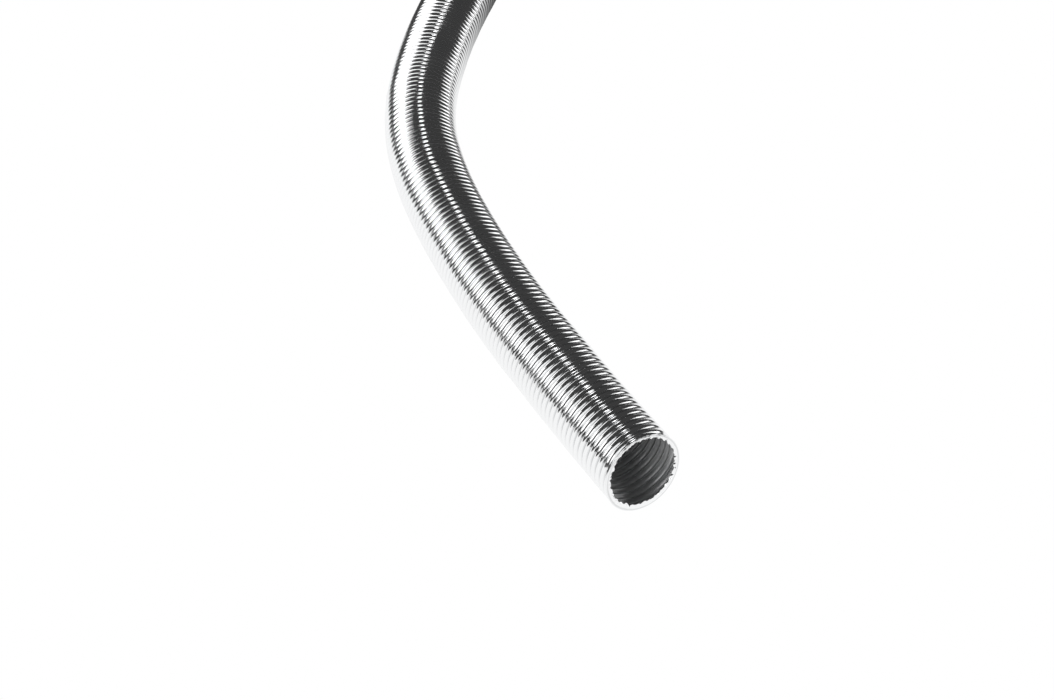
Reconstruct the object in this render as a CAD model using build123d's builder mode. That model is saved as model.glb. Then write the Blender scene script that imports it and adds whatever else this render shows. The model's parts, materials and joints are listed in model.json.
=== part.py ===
"""A length of flexible aluminium duct hose, lying in the bend it was left in.

The hose is one thin corrugated wall. It is divided along its length into short stiff sections, with a
flexing section between each two, so that it can be bent and stretched like the real thing. Millimetres,
+Z up. The origin is on the hose's axis, on the first whole groove inside the open mouth, and the mouth
faces -Y.
"""

import os
from math import atan2, cos, radians, sin, tan

from build123d import *

# The corrugated wall
bore_diameter = 55.0  # over the inner grooves, the size of the pipe that the hose slips on
rib_height = 3.0
wall = 0.5
pitch = 5.6  # from one rib to the next
land = 1.4  # flat width at the top of a rib and at the bottom of a groove

# The divisions
stiff_ribs = 7
flex_ribs = 4
mouth_ribs = 6  # ribs of the mouth section behind the origin
body_clearance = 0.2  # between a flexing section and the next stiff one
flex_shrink = 0.3  # the flexing ribs are this much lower, so that the hose rests on the stiff ones

# The mouth, cut by hand a little off square, with its lower lip the longer
mouth_overhang = 1.5 * pitch  # from the origin out to the cut, along the axis
mouth_slant = 10.0  # degrees

# How far the hose turns to the right, in degrees, at each flexing section from the mouth to the tail
bends = [1.2, 0.8, 3.0, 3.0, 3.5, 7.0, 10.5, 9.5, 4.0, 4.0, 3.0, 1.5, -2.0, -4.0, -3.0]

# Worked out from the above
groove_radius = bore_diameter / 2 + wall
rib_radius = groove_radius + rib_height
stiff_length = stiff_ribs * pitch
mouth_length = mouth_ribs * pitch
half_flex = flex_ribs * pitch / 2
flank_slope = atan2(rib_height, pitch / 2 - land)
land_change = 2 * wall * tan(flank_slope / 2)  # a land is this much wider inside a groove than outside it


def corrugated_edge(ribs, crest, root, crest_land, root_land):
    """The points of one side of the wall, as (distance along the hose, radius)."""
    points = [(0, root)]
    for rib in range(ribs):
        top = (rib + 0.5) * pitch
        points.append((rib * pitch + root_land / 2, root))
        points.append((top - crest_land / 2, crest))
        points.append((top + crest_land / 2, crest))
        points.append(((rib + 1) * pitch - root_land / 2, root))
    points.append((ribs * pitch, root))
    return points


def wall_outline(ribs, shrink=0.0):
    """The closed outline of the wall's section, along the outside and back along the inside."""
    outside = corrugated_edge(ribs, rib_radius - shrink, groove_radius, land, land)
    inside = corrugated_edge(
        ribs, rib_radius - shrink - wall, groove_radius - wall, land - land_change, land + land_change
    )
    return outside + inside[::-1]


def heading(angle):
    """The level direction that is angle degrees to the right of +Y."""
    return Vector(sin(radians(angle)), cos(radians(angle)), 0)


def upright_plane(start, along):
    """The plane on the hose's axis whose X runs along the hose and whose Y is up."""
    return Plane(origin=start, x_dir=along, z_dir=along.cross(Vector(0, 0, 1)))


def save(part, name):
    part.label = name
    export_step(part, f"parts/{name}.step")


os.makedirs("parts", exist_ok=True)

# The open mouth: whole grooves and ribs, cut off at a slant in front of the origin
spare_ribs = 3
mouth_start = Vector(0, -spare_ribs * pitch, 0)
with BuildPart() as mouth_section:
    with BuildSketch(upright_plane(mouth_start, heading(0))):
        with BuildLine():
            Polyline(*wall_outline(spare_ribs + mouth_ribs), close=True)
        make_face()
    revolve(axis=Axis(mouth_start, heading(0)))
    slant = Plane(
        origin=(0, -mouth_overhang, 0),
        z_dir=(0, -cos(radians(mouth_slant)), sin(radians(mouth_slant))),
    )
    split(bisect_by=slant, keep=Keep.BOTTOM)
save(mouth_section.part, "mouth_section")

# Along the hose: a flexing section, then a stiff one, for each bend
end = Vector(0, mouth_length, 0)
angle = 0.0
for number, bend in enumerate(bends, start=1):
    before = heading(angle)
    middle = heading(angle + bend / 2)
    after = heading(angle + bend)
    pivot = end + before * half_flex
    start = pivot + after * half_flex

    # One spare rib at each end is mitred off where the stiff sections begin
    flex_start = pivot - middle * (half_flex + pitch)
    with BuildPart() as flex_section:
        with BuildSketch(upright_plane(flex_start, middle)):
            with BuildLine():
                Polyline(*wall_outline(flex_ribs + 2, flex_shrink), close=True)
            make_face()
        revolve(axis=Axis(flex_start, middle))
        split(bisect_by=Plane(origin=end, z_dir=before), keep=Keep.TOP)
        far_end = start - after * body_clearance
        split(bisect_by=Plane(origin=far_end, z_dir=after), keep=Keep.BOTTOM)
    save(flex_section.part, f"flex_section_{number:02d}")

    last = number == len(bends)
    with BuildPart() as stiff_section:
        with BuildSketch(upright_plane(start, after)):
            with BuildLine():
                Polyline(*wall_outline(stiff_ribs), close=True)
            make_face()
        revolve(axis=Axis(start, after))
    save(stiff_section.part, "tail_section" if last else f"duct_section_{number + 1:02d}")

    angle += bend
    end = start + after * stiff_length
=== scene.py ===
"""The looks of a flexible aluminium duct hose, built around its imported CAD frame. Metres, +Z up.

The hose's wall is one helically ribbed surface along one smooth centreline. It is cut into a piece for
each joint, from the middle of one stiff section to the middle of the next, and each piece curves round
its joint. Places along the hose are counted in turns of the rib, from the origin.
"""

import json
import math

import bpy
import numpy as np
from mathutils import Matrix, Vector

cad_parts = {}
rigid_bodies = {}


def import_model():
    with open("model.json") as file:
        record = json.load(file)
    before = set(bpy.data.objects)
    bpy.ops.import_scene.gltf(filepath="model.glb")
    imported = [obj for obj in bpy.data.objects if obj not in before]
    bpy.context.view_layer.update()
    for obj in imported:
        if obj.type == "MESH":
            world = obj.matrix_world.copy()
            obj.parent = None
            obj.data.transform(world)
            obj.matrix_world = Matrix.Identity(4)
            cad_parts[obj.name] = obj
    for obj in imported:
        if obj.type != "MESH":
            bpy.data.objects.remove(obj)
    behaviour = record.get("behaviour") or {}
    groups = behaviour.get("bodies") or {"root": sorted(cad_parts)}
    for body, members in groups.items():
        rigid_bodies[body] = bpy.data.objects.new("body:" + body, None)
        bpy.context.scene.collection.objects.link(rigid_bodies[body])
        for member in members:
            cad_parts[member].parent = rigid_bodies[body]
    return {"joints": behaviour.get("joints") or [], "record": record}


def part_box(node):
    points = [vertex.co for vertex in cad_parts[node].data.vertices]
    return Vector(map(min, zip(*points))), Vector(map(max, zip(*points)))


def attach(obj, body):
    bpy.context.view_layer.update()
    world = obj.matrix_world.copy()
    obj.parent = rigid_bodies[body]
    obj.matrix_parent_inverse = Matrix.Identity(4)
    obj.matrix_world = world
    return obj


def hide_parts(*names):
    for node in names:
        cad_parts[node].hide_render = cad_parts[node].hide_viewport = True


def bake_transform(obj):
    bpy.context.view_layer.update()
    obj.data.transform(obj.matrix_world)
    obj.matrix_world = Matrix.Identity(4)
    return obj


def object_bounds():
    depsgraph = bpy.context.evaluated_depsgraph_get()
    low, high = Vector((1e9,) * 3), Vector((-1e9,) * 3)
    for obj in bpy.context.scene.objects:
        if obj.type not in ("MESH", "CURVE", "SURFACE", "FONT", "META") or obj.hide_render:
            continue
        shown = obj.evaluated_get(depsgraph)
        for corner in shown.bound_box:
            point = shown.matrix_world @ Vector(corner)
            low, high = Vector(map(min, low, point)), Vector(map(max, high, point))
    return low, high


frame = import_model()
cad_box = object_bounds()

# ---------------------------------------------------------------- the hose's sizes, as in the CAD model

PITCH = 0.0056  # from one rib to the next
GROOVE_RADIUS = 0.028
RIB_RADIUS = 0.031
WALL = 0.0003
RIB_TOP = 0.25  # where a rib's top is, in rib numbers past a whole one
RIB_BREADTH = 0.3  # 1 makes the ribs and grooves alike, and less makes the ribs broader
GROOVE_ROUND = 0.02  # the rounding at the bottom of a groove
TURNS_A_JOINT = 11
FIRST_MIDDLE = 2.5  # where the first joint's piece would begin, if the mouth weren't there
MOUTH_CUT = -1.5  # where the slanting cut crosses the axis
MOUTH_SLANT = math.radians(10)
TAIL_CUT = 171.0

# ---------------------------------------------------------------- how uneven a thin metal wall is

WAVES = 7  # the waves that add up to one uneven change
WALL_DENTS = 0.0001  # in the wall's radius
RIB_DRIFT = 0.035  # of the ribs along the hose, in turns
TAIL_RAGGED = 0.03  # of the tail's cut, in turns
EDGE_FOLLOWED = 0.4, 1.2  # the turns behind the mouth's edge between which the ribs stop following it

LIP_WIDTH = 0.0036
LIP_SAG = 0.0022  # how much wider the lip is at its lowest point
LIP_BULGE = 0.3  # how far the lip stands out past the mouth's edge, in turns
LIP_TEETH = 0.0003, 0.0004  # of the torn edge: the broad teeth and the fine ones
LIP_CREASES = 0.05, 0.04  # of the lip's face, in turns: those that cross it and those that break up on it

# ---------------------------------------------------------------- the mesh

ROWS = 14  # faces along a turn
LIP_ROWS = 10  # faces across the lip
COLUMNS = 80  # faces round the hose
TOP = -math.pi / 2  # angles run from the right, down, round and up to the top

joints = frame["joints"]
bodies = [joints[0]["parent"]] + [j["child"] for j in joints]
stiff_nodes = [next(n for n in frame["record"]["behaviour"]["bodies"][b] if "flex" not in n) for b in bodies]
flex_nodes = [f"flex_section_{n:02d}" for n in range(1, len(joints) + 1)]

# ---------------------------------------------------------------- the centreline


def middles():
    """The middle of each stiff section, and the way it heads there, in radians to the right of +Y."""
    places = [np.array([0, FIRST_MIDDLE * PITCH, 0])]
    headings = [0.0]
    for node in stiff_nodes[1:]:
        low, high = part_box(node)
        places.append(np.array((low + high) / 2))
        step = places[-1] - places[-2]
        headings.append(2 * math.atan2(step[0], step[1]) - headings[-1])
    return np.array(places), np.array(headings)


PLACES, HEADINGS = middles()


def centreline(turns):
    """Points on the hose's axis, and the heading there. Each joint's span is one arc."""
    span = (turns - FIRST_MIDDLE) / TURNS_A_JOINT
    k = np.clip(np.floor(span).astype(int), 0, len(joints) - 1)
    share = span - k
    bend = (HEADINGS[k + 1] - HEADINGS[k])
    bend = np.where(np.abs(bend) < 1e-6, 1e-6, bend)
    chord = np.linalg.norm(PLACES[k + 1] - PLACES[k], axis=-1)
    radius = chord / (2 * np.sin(bend / 2))
    arc = np.clip(share, 0, 1) * bend
    straight = (share - np.clip(share, 0, 1)) * TURNS_A_JOINT * PITCH
    start = HEADINGS[k]
    heading = start + arc
    x = PLACES[k, 0] + radius * (np.cos(start) - np.cos(heading)) + straight * np.sin(heading)
    y = PLACES[k, 1] + radius * (np.sin(heading) - np.sin(start)) + straight * np.cos(heading)
    return x, y, heading


# ---------------------------------------------------------------- the wall


def rib_shape(rib):
    """1 on top of a rib and -1 at the bottom of a groove: broad round ribs and narrow grooves."""
    swell = (np.cos(np.pi * (rib - RIB_TOP)) ** 2 + GROOVE_ROUND) ** RIB_BREADTH
    lowest, highest = GROOVE_ROUND ** RIB_BREADTH, (1 + GROOVE_ROUND) ** RIB_BREADTH
    return 2 * (swell - lowest) / (highest - lowest) - 1


def wander(turns, angle, seed, size):
    """A smooth, small, uneven change over the wall, the same on both sides of every joint."""
    draw = np.random.default_rng(seed)
    total = np.zeros_like(turns)
    for _ in range(WAVES):
        along = draw.uniform(-1.4, 1.4)
        around = draw.integers(0, 4)
        phase = draw.uniform(0, 2 * np.pi)
        total = total + np.sin(along * turns + around * angle + phase)
    return total * size / WAVES ** 0.5


def smooth_step(value, low, high):
    share = np.clip((value - low) / (high - low), 0, 1)
    return share * share * (3 - 2 * share)


def wall_points(rib, angle):
    """Points of the wall's outside. rib counts along the rib itself, which is a screw, so a place with the
    same rib number moves one turn along the hose each time round."""
    turns = rib + (angle - TOP) / (2 * np.pi)
    middle, half = (RIB_RADIUS + GROOVE_RADIUS) / 2, (RIB_RADIUS - GROOVE_RADIUS) / 2

    # The last rib at the mouth follows the cut edge round, so that the edge is on top of a rib
    behind = turns - smooth_mouth_edge(angle)
    edge_share = 1 - smooth_step(behind, *EDGE_FOLLOWED)
    radius = middle + half * (rib_shape(rib) * (1 - edge_share) + rib_shape(behind + RIB_TOP) * edge_share)
    radius = radius + wander(turns, angle, 3, WALL_DENTS) - WALL_DENTS
    return at_radius(turns, angle, radius)


def at_radius(turns, angle, radius):
    """Points round the hose's axis."""
    x, y, heading = centreline(turns + wander(turns, angle, 5, RIB_DRIFT))
    level = radius * np.cos(angle)
    height = -radius * np.sin(angle)
    return np.stack([x + level * np.cos(heading), y - level * np.sin(heading), height], axis=-1)


def normals(points, place, angle):
    """The outward directions of a surface, from points a small step away each way."""
    step = 1e-4
    along = points(place + step, angle) - points(place - step, angle)
    around = points(place, angle + step) - points(place, angle - step)
    normal = np.cross(around, along)
    return normal / np.linalg.norm(normal, axis=-1, keepdims=True)


def smooth_mouth_edge(angle):
    """Where the mouth was cut, in turns: slanting, with the lower lip the longer."""
    return MOUTH_CUT - RIB_RADIUS * np.sin(angle) * math.tan(MOUTH_SLANT) / PITCH


def lip_points(share, angle):
    """The lip, which is the last rib's front folded in by the cut. share is 0 at its torn inner edge and 1
    where it meets the wall."""
    inward = 1 - share
    low_side = 0.5 + 0.5 * np.sin(angle)
    width = LIP_WIDTH + LIP_SAG * low_side ** 2
    teeth = wander(angle * 0, angle * 9, 17, LIP_TEETH[0]) + wander(angle * 0, angle * 31, 23, LIP_TEETH[1])
    radius = RIB_RADIUS - WALL_DENTS - (width + teeth * inward) * inward
    across = wander(angle * 0, angle * 11, 29, LIP_CREASES[0])
    broken = wander(inward * 5, angle * 19, 31, LIP_CREASES[1])
    turns = smooth_mouth_edge(angle) - LIP_BULGE * inward * (1 - inward) + (across + broken) * inward
    return at_radius(turns, angle, radius)


def tail_edge(angle):
    return TAIL_CUT + wander(angle * 0, angle * 2, 13, TAIL_RAGGED)


def wall_piece(name, first, last, round_count):
    """A closed thin mesh of the wall from rib number first to last, with round_count faces round the hose."""
    columns = np.arange(round_count + 1)
    angles = TOP + (columns / round_count - 0.5) * 2 * np.pi
    ribs = first + np.arange(round((last - first) * ROWS) + 1) / ROWS
    rib, angle = np.meshgrid(ribs, angles, indexing="ij")
    lead = (angle - TOP) / (2 * np.pi)
    low, high = smooth_mouth_edge(angle) - lead, tail_edge(angle) - lead
    count_low = (rib <= low).sum(0) - 1
    count_high = (rib >= high).sum(0) - 1
    rib = np.clip(rib, low, high)

    # The number of the point at each row and column: rows past a cut edge share one point, and the last
    # column is the first one, a turn further on
    rows = len(ribs)
    row = np.arange(rows)[:, None]
    row = np.maximum(row, count_low[None, :])
    row = np.minimum(row, rows - 1 - count_high[None, :])
    number = row * (round_count + 1) + columns[None, :]
    number[:-ROWS, round_count] = number[ROWS:, 0]

    faces = []
    for r in range(rows - 1):
        for c in range(round_count):
            corners = [number[r, c], number[r, c + 1], number[r + 1, c + 1], number[r + 1, c]]
            face = [n for i, n in enumerate(corners) if n != corners[i - 1]]
            if len(set(face)) == len(face) > 2:
                faces.append(face)

    used = np.unique(np.concatenate([np.array(f) for f in faces]))
    new = {int(n): i for i, n in enumerate(used)}
    faces = [[new[int(n)] for n in f] for f in faces]
    rib, angle = rib.ravel()[used], angle.ravel()[used]
    return thin_mesh(name, wall_points, rib, angle, rib + (angle - TOP) / (2 * np.pi), faces)


def lip_piece(name, round_count):
    """The folded-in lip at the mouth, as a closed thin ring."""
    angles = np.arange(round_count) / round_count * 2 * np.pi
    shares = np.arange(LIP_ROWS + 1) / LIP_ROWS
    share, angle = np.meshgrid(shares, angles, indexing="ij")
    faces = []
    for r in range(LIP_ROWS):
        for c in range(round_count):
            left, right = r * round_count + c, r * round_count + (c + 1) % round_count
            faces.append([left, right, right + round_count, left + round_count])
    share, angle = share.ravel(), angle.ravel()
    return thin_mesh(name, lip_points, share, angle, smooth_mouth_edge(angle), faces)


def thin_mesh(name, points, place, angle, turns, faces):
    """A closed mesh, WALL thick, whose outside is points(place, angle)."""
    outside = points(place, angle)
    normal = normals(points, place, angle)
    inside = outside - WALL * normal
    n = len(outside)

    ways = {}
    for f in faces:
        for a, b in zip(f, f[1:] + f[:1]):
            ways[(a, b)] = 1
    rim = [[b, a, a + n, b + n] for a, b in ways if (b, a) not in ways]
    lining = [[v + n for v in reversed(f)] for f in faces]

    mesh = bpy.data.meshes.new(name)
    mesh.from_pydata(np.concatenate([outside, inside]).tolist(), [], faces + lining + rim)
    mesh.materials.append(outer_metal)
    mesh.materials.append(inner_metal)
    slots = np.zeros(len(mesh.polygons), np.int32)
    slots[len(faces):len(faces) + len(lining)] = 1
    mesh.polygons.foreach_set("material_index", slots)
    mesh.polygons.foreach_set("use_smooth", np.ones(len(mesh.polygons), bool))

    # The wall's place on the hose pulled straight, for the materials
    straight = np.stack([turns * PITCH, RIB_RADIUS * np.cos(angle), RIB_RADIUS * np.sin(angle)], axis=-1)
    strip = np.stack([place * PITCH, angle * RIB_RADIUS, rib_shape(place)], axis=-1)
    for label, values in (("straight", straight), ("strip", strip)):
        attribute = mesh.attributes.new(label, "FLOAT_VECTOR", "POINT")
        attribute.data.foreach_set("vector", np.concatenate([values, values]).astype(np.float32).ravel())

    corner = np.zeros(len(mesh.loops), np.int32)
    mesh.loops.foreach_get("vertex_index", corner)
    corner_normals = np.concatenate([normal, -normal])[corner]
    for p in mesh.polygons[2 * len(faces):]:
        corner_normals[p.loop_start:p.loop_start + 4] = np.array(p.normal)
    mesh.normals_split_custom_set(corner_normals.tolist())
    obj = bpy.data.objects.new(name, mesh)
    bpy.context.scene.collection.objects.link(obj)
    return obj


# ---------------------------------------------------------------- materials

SMUDGE_SCALE = 45  # handling marks, a couple of centimetres across
CRUMPLE_SCALE = 260  # small dents, a few millimetres across
GRAIN_SCALE = 2500  # the rolled grain, under a millimetre wide
GRAIN_ALONG = 0.12  # the grain's scale along the strip, beside its scale across
GRAIN_DEPTH = 0.12  # beside the small dents' depth


def metal(name, colour, painted_groove_shade, roughness, spread, bump):
    """Bare aluminium: colour on the ribs, going over in the grooves to a darker colour that is painted shade,
    roughness that rises by up to spread in smudges, and dents and grain that are bump deep."""
    material = bpy.data.materials.new(name)
    material.use_nodes = True
    nodes, links = material.node_tree.nodes, material.node_tree.links
    shader = nodes["Principled BSDF"]
    shader.inputs["Metallic"].default_value = 1.0

    def attribute(label):
        node = nodes.new("ShaderNodeAttribute")
        node.attribute_name = label
        return node.outputs["Vector"]

    def noise(vector, scale, detail):
        node = nodes.new("ShaderNodeTexNoise")
        node.inputs["Scale"].default_value = scale
        node.inputs["Detail"].default_value = detail
        links.new(vector, node.inputs["Vector"])
        return node.outputs["Fac"]

    def between(value, low, high, at_low, at_high):
        node = nodes.new("ShaderNodeMapRange")
        for socket, number in zip(("From Min", "From Max", "To Min", "To Max"), (low, high, at_low, at_high)):
            node.inputs[socket].default_value = number
        links.new(value, node.inputs["Value"])
        return node.outputs["Result"]

    straight, strip = attribute("straight"), attribute("strip")
    smudge = noise(straight, SMUDGE_SCALE, 3)
    links.new(between(smudge, 0.3, 0.7, roughness, roughness + spread), shader.inputs["Roughness"])

    # The base colour darkens towards the bottom of each groove: painted shade, where the ribs keep the light
    # out
    groove_shading = nodes.new("ShaderNodeMix")
    groove_shading.data_type = "RGBA"
    groove_shading.inputs["A"].default_value = (*colour, 1)
    groove_shading.inputs["B"].default_value = (*painted_groove_shade, 1)
    split = nodes.new("ShaderNodeSeparateXYZ")
    links.new(strip, split.inputs[0])
    links.new(between(split.outputs["Z"], -1, 0.4, 1, 0), groove_shading.inputs["Factor"])
    links.new(groove_shading.outputs["Result"], shader.inputs["Base Color"])

    stretch = nodes.new("ShaderNodeVectorMath")
    stretch.operation = "MULTIPLY"
    stretch.inputs[1].default_value = (1, GRAIN_ALONG, 0)
    links.new(strip, stretch.inputs[0])
    grain = noise(stretch.outputs[0], GRAIN_SCALE, 2)
    crumple = noise(straight, CRUMPLE_SCALE, 4)
    total = nodes.new("ShaderNodeMath")
    total.operation = "MULTIPLY_ADD"
    total.inputs[1].default_value = GRAIN_DEPTH
    links.new(grain, total.inputs[0])
    links.new(crumple, total.inputs[2])
    bumps = nodes.new("ShaderNodeBump")
    bumps.inputs["Strength"].default_value = 1.0
    bumps.inputs["Distance"].default_value = bump
    links.new(total.outputs[0], bumps.inputs["Height"])
    links.new(bumps.outputs["Normal"], shader.inputs["Normal"])
    return material


# Each metal's second colour is the painted shade at the bottom of its grooves
outer_metal = metal(
    "bright_aluminium", (0.91, 0.915, 0.92), (0.70, 0.705, 0.71), roughness=0.09, spread=0.08, bump=0.00005
)
inner_metal = metal(
    "dull_aluminium", (0.72, 0.725, 0.73), (0.55, 0.555, 0.56), roughness=0.42, spread=0.15, bump=0.00015
)

# ---------------------------------------------------------------- the hose

# The first piece begins past the mouth's cut and the last one ends past the tail's, and the cuts trim them
for k, joint in enumerate(joints):
    begin = FIRST_MIDDLE + k * TURNS_A_JOINT if k else MOUTH_CUT - 2
    finish = FIRST_MIDDLE + (k + 1) * TURNS_A_JOINT if k < len(joints) - 1 else TAIL_CUT + 1
    hose = wall_piece(f"hose_wall_{k + 1:02d}", begin, finish, COLUMNS if k else 2 * COLUMNS)
    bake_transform(hose)
    last = [stiff_nodes[-1]] if k == len(joints) - 1 else []
    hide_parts(stiff_nodes[k], flex_nodes[k], *last)

lip = lip_piece("mouth_lip", 4 * COLUMNS)
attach(lip, bodies[0])

# ---------------------------------------------------------------- floor, lights and camera

AIM = Vector((-0.006, 0.140, 0))
VIEW_TURN = math.radians(31)  # the camera looks this far to the right of +Y
VIEW_DROP = math.radians(44)
VIEW_DISTANCE = 1.353
LENS = 61.5  # millimetres, on a 36 mm sensor

ROOM = 0.045  # how bright the dark room round the stage is
FLOOR_REACH = 6.0
FLOOR_GAP = 0.0002  # below the hose, so that the two never touch


def toward(turn, drop):
    """The way that points turn to the right of +Y and drop below the level."""
    return Vector((math.sin(turn) * math.cos(drop), math.cos(turn) * math.cos(drop), -math.sin(drop)))


SHEET_MIDDLE = AIM + toward(VIEW_TURN - math.radians(121), 0) * 0.55
SHEET_EDGE = 0.74, 0.92  # the distances from its middle between which the sheet fades out


def stage_material(name):
    """A white sheet that ends a little way past the hose, for reflections to see."""
    material = bpy.data.materials.new(name)
    material.use_nodes = True
    nodes, links = material.node_tree.nodes, material.node_tree.links
    nodes.clear()
    geometry = nodes.new("ShaderNodeNewGeometry")
    distance = nodes.new("ShaderNodeVectorMath")
    distance.operation = "DISTANCE"
    distance.inputs[1].default_value = SHEET_MIDDLE
    links.new(geometry.outputs["Position"], distance.inputs[0])
    fade = nodes.new("ShaderNodeMapRange")
    fade.interpolation_type = "SMOOTHSTEP"
    fade.inputs["From Min"].default_value, fade.inputs["From Max"].default_value = SHEET_EDGE
    fade.inputs["To Min"].default_value, fade.inputs["To Max"].default_value = 1.0, ROOM
    links.new(distance.outputs["Value"], fade.inputs["Value"])
    shine = nodes.new("ShaderNodeEmission")
    links.new(fade.outputs["Result"], shine.inputs["Strength"])
    output = nodes.new("ShaderNodeOutputMaterial")
    links.new(shine.outputs["Emission"], output.inputs["Surface"])
    return material


floor_mesh = bpy.data.meshes.new("floor")
floor_corners = [(x * FLOOR_REACH, y * FLOOR_REACH, 0) for x, y in ((-1, -1), (1, -1), (1, 1), (-1, 1))]
floor_mesh.from_pydata(floor_corners, [], [(0, 1, 2, 3)])
floor = bpy.data.objects.new("floor", floor_mesh)
floor.location = (0, 0, cad_box[0].z - FLOOR_GAP)
bpy.context.scene.collection.objects.link(floor)
floor_mesh.materials.append(stage_material("white_floor"))
floor.visible_camera = False  # the backdrop is as white, and a hose that bends below the floor stays in view


def soft_light(name, turn, height, distance, size, brightness):
    """A rectangular panel that shines on AIM, turn degrees to the right of the camera's way and height
    degrees up. brightness is what a reflection of it shows, where the white sheet's is 1."""
    light = bpy.data.lights.new(name, "AREA")
    light.shape = "RECTANGLE"
    light.size, light.size_y = size
    light.energy = brightness * math.pi * size[0] * size[1]
    lamp = bpy.data.objects.new(name, light)
    way = toward(VIEW_TURN + math.radians(turn), math.radians(-height))
    lamp.location = AIM + way * distance
    lamp.rotation_euler = way.to_track_quat("Z", "Y").to_euler()
    lamp.visible_camera = False
    bpy.context.scene.collection.objects.link(lamp)


soft_light("window", -80, 36, 2.2, (3.8, 1.55), 1.35)
soft_light("far_window", -140, 27, 2.2, (2.2, 1.1), 1.35)
soft_light("low_strip", 112, 4, 1.6, (2.2, 0.34), 1.5)
soft_light("overhead", -2, 76, 2.0, (0.34, 0.80), 4.0)

world = bpy.data.worlds.new("world")
world.use_nodes = True
nodes, links = world.node_tree.nodes, world.node_tree.links
room = nodes["Background"]
room.inputs["Color"].default_value = (ROOM, ROOM, ROOM, 1)
backdrop = nodes.new("ShaderNodeBackground")
backdrop.inputs["Color"].default_value = (1, 1, 1, 1)
path = nodes.new("ShaderNodeLightPath")
seen = nodes.new("ShaderNodeMixShader")
links.new(path.outputs["Is Camera Ray"], seen.inputs["Fac"])
links.new(room.outputs[0], seen.inputs[1])
links.new(backdrop.outputs[0], seen.inputs[2])
links.new(seen.outputs[0], nodes["World Output"].inputs["Surface"])
bpy.context.scene.world = world
bpy.context.scene.view_settings.view_transform = "Standard"

camera = bpy.data.cameras.new("camera")
camera.lens = LENS
camera.sensor_width = 36
eye = bpy.data.objects.new("camera", camera)
look = toward(VIEW_TURN, VIEW_DROP)
eye.location = AIM - look * VIEW_DISTANCE
eye.rotation_euler = look.to_track_quat("-Z", "Y").to_euler()
bpy.context.scene.collection.objects.link(eye)
bpy.context.scene.camera = eye
